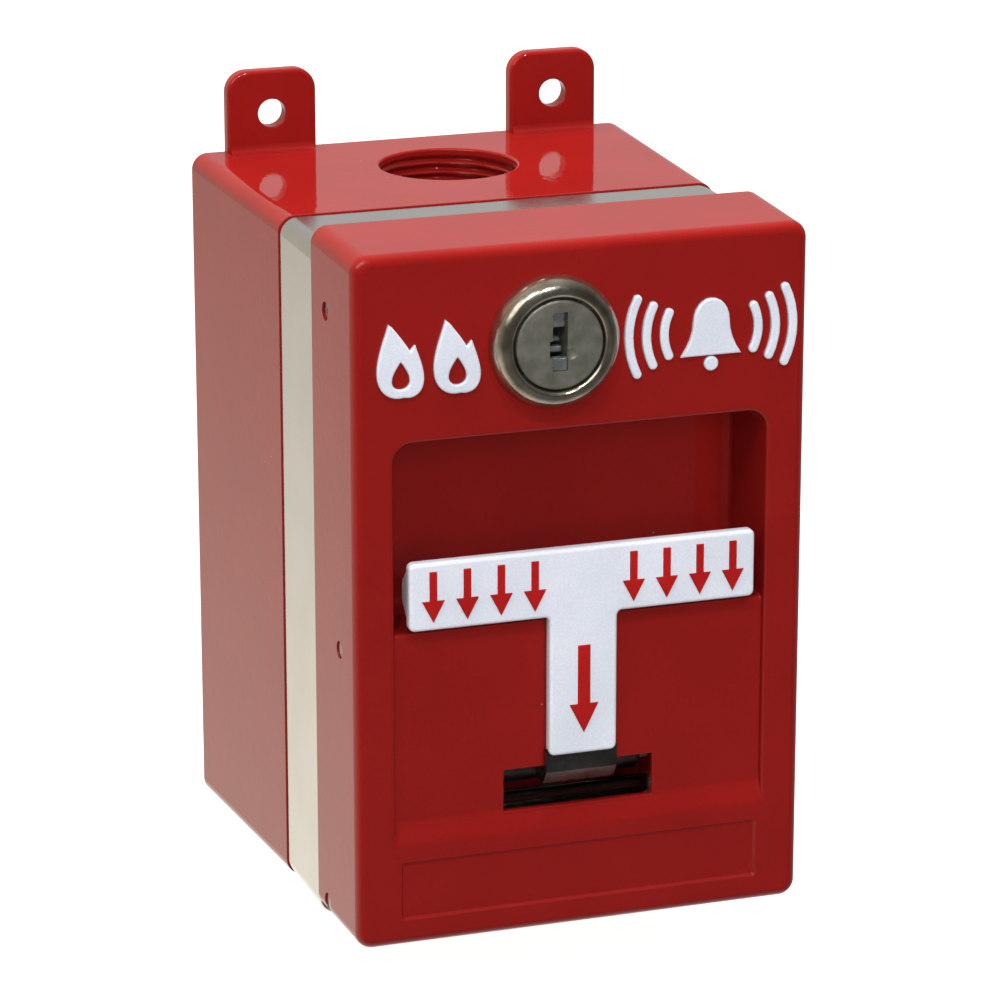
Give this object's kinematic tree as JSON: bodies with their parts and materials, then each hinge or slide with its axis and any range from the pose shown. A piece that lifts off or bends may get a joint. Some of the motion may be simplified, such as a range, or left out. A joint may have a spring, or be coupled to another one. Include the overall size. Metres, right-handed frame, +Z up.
{
  "type": "manual call point",
  "caption": "Surface-mounted manual fire call point: back box with ears and conduit entry, bare metal spacer frame, hinged key-locked cover with a T-shaped pull handle over a glass rod.",
  "frame": {"origin": "centre of the back box's flat rear face, on the wall", "axes": "+X to the right seen from the front, +Y out of the box's back into the wall, +Z up; the cover faces -Y"},
  "size_m": [0.0844, 0.101, 0.1408],
  "materials": {
    "red_enamel": "gloss red enamel on die-cast metal",
    "cast_alloy": "bare satin cast alloy",
    "white_enamel": "gloss white enamel",
    "sign_white": "white paint on raised casting",
    "sign_red": "red print",
    "nickel": "nickel-plated brass, lightly worn",
    "zinc_steel": "zinc-plated steel",
    "green_screw": "green dyed screw",
    "brass": "bare brass",
    "clear_glass": "clear glass with a faint green tint",
    "black_rubber": "soft black seal",
    "phenolic": "dark moulded resin",
    "wire_red": "red insulation",
    "wire_black": "black insulation"
  },
  "bodies": {
    "station": {"back_box": "red_enamel", "box_gasket": "black_rubber", "spacer_frame": "cast_alloy", "frame_screws": "zinc_steel", "chassis_plate": "zinc_steel", "plate_screws": "zinc_steel", "keeper": "zinc_steel", "keeper_screws": "zinc_steel", "switch_body": "phenolic", "switch_bushing": "nickel", "switch_nut": "nickel", "switch_lugs": "brass", "terminal_block": "phenolic", "terminal_screws": "brass", "block_screws": "zinc_steel", "red_lead": "wire_red", "black_lead": "wire_black", "ground_screw": "green_screw"},
    "toggle": {"toggle_lever": "nickel"},
    "cover": {"front_cover": "red_enamel", "cover_gasket": "black_rubber", "cover_symbols": "sign_white", "hinge_pin": "zinc_steel", "cross_pin": "zinc_steel", "detent_spring": "zinc_steel", "side_set_screws": "zinc_steel", "glass_rod": "clear_glass", "handle_pin": "zinc_steel", "lock_body": "nickel", "lock_nut": "nickel"},
    "lock": {"lock_plug": "nickel", "lock_cam": "zinc_steel", "cam_screw": "zinc_steel"},
    "handle": {"pull_handle": "white_enamel", "handle_arrows": "sign_red"}
  },
  "joints": [
    {"name": "cover_hinge", "type": "hinge", "parent": "station", "child": "cover", "pos_m": [0, -0.0797, -0.05625], "axis": [1, 0, 0], "range_deg": [0, 90]},
    {"name": "handle_pivot", "type": "hinge", "parent": "cover", "child": "handle", "pos_m": [0, -0.0885, -0.03095], "axis": [1, 0, 0], "range_deg": [0, 30]},
    {"name": "lock_turn", "type": "hinge", "parent": "cover", "child": "lock", "pos_m": [-0.0055, -0.0855, 0.04775], "axis": [0, -1, 0], "range_deg": [0, 90]},
    {"name": "toggle_throw", "type": "hinge", "parent": "station", "child": "toggle", "pos_m": [0, -0.057, -0.02395], "axis": [1, 0, 0], "range_deg": [-20, 0]}
  ],
  "couplings": [
    {"joint": "toggle_throw", "follows": "handle_pivot", "ratio": -0.64}
  ]
}
